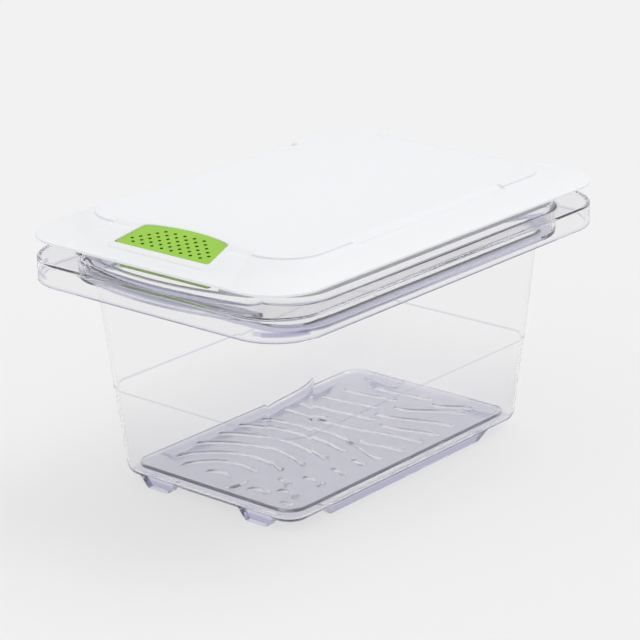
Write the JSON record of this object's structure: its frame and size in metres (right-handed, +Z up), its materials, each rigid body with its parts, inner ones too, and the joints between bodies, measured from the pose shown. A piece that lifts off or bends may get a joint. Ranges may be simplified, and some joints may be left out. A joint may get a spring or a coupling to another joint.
{
  "type": "vented potato storage bin",
  "caption": "Clear tapered storage tub with a ledge, a ridged drain tray, a domed lift-off lid and a perforated vent cartridge that pulls out of the lid.",
  "frame": {"origin": "centre of the footprint, on the surface that the bin stands on", "axes": "+Z up, +Y along the length towards the end without the vent, +X across the width"},
  "size_m": [0.222, 0.33, 0.1826],
  "materials": {
    "clear_tub": "clear moulded plastic with a faint lavender tint, polished",
    "clear_tray": "clear moulded plastic, polished",
    "white_lid": "slightly translucent white, satin",
    "green_vent": "lime green, satin",
    "filter_pad": "dark felt"
  },
  "bodies": {
    "bin": {"bin_tub": "clear_tub"},
    "tray": {"drain_tray": "clear_tray"},
    "lid": {"lid_shell": "white_lid"},
    "vent_cartridge": {"vent_cover": "green_vent", "vent_filter": "filter_pad", "vent_base": "green_vent"}
  },
  "joints": [
    {"name": "lid_lift", "type": "slide", "parent": "bin", "child": "lid", "axis": [0, 0, 1], "range_m": [0, 0.12]},
    {"name": "tray_lift", "type": "slide", "parent": "bin", "child": "tray", "axis": [0, 0, 1], "range_m": [0, 0.15]},
    {"name": "vent_lift", "type": "slide", "parent": "lid", "child": "vent_cartridge", "axis": [0, 0, 1], "range_m": [0, 0.03]}
  ]
}
